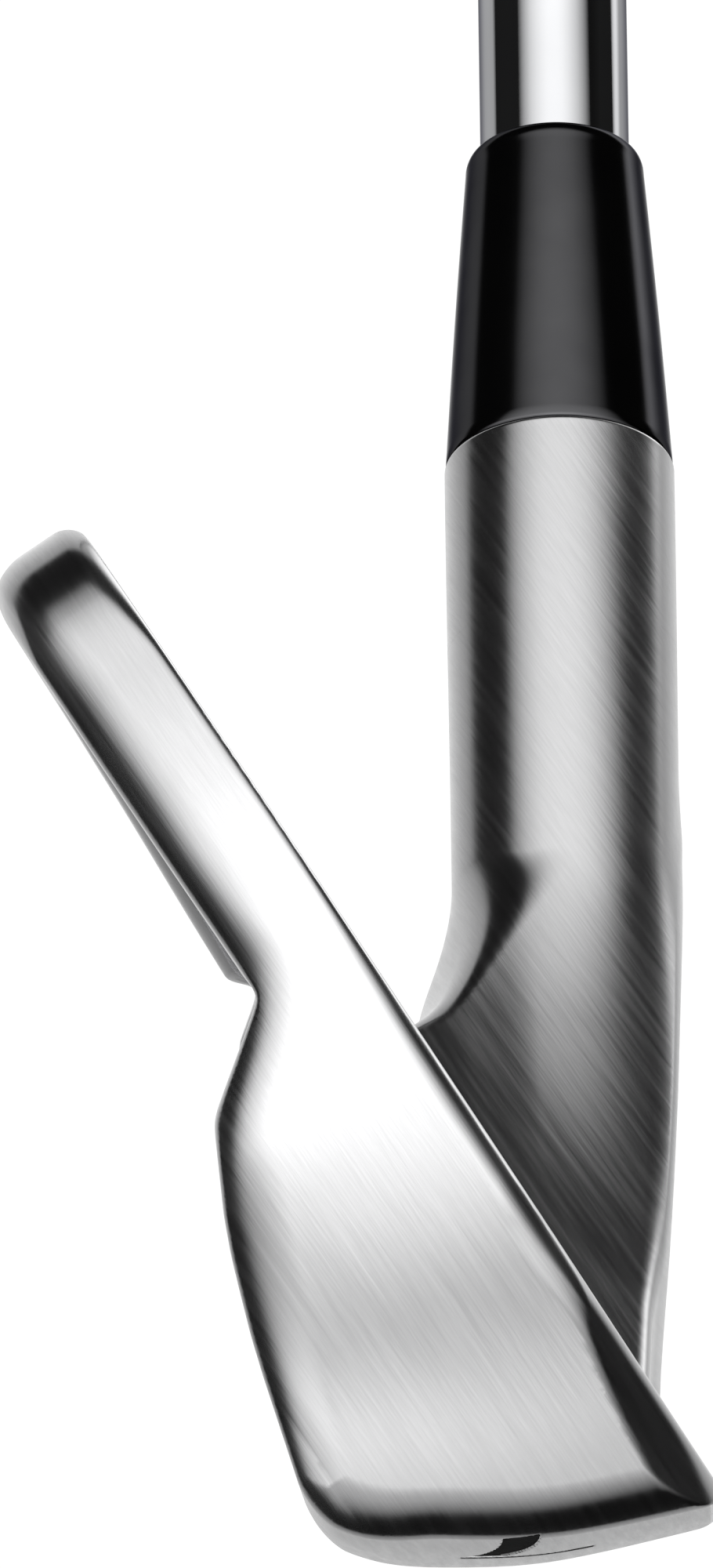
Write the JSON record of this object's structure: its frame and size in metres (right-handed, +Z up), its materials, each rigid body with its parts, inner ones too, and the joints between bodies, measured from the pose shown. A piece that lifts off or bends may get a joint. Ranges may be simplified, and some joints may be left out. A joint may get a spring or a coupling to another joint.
{
  "type": "iron golf club",
  "caption": "Right-handed cavity-back iron golf club with a forged steel head, tapered ferrule, stepped steel shaft and rubber grip.",
  "frame": {"origin": "where the shaft axis meets the ground at address, with the club soled at its design lie", "axes": "+X from heel to toe, +Y towards the target (the way the face looks), +Z up"},
  "size_m": [0.5138, 0.0478, 0.8432],
  "materials": {
    "brushed_head": "satin brushed",
    "black_paint": "matt",
    "gloss_ferrule": "gloss",
    "chrome_shaft": "polished",
    "epoxy": "cured adhesive",
    "brass_weight": "turned",
    "band_film": "satin film",
    "tape": "paper backed",
    "grip_rubber": "moulded texture",
    "cap_rubber": "smooth moulded",
    "badge_metal": "fine brushed, dark",
    "foam_tape": "foam"
  },
  "bodies": {
    "root": {"iron_head": "brushed_head", "sole_number_fill": "black_paint", "ferrule": "gloss_ferrule", "shaft": "chrome_shaft", "hosel_epoxy": "epoxy", "tip_weight_pin": "brass_weight", "shaft_band": "band_film", "grip_tape": "tape", "grip_sleeve": "grip_rubber", "grip_end_cap": "cap_rubber", "cavity_badge": "badge_metal", "badge_tape": "foam_tape"}
  },
  "joints": []
}
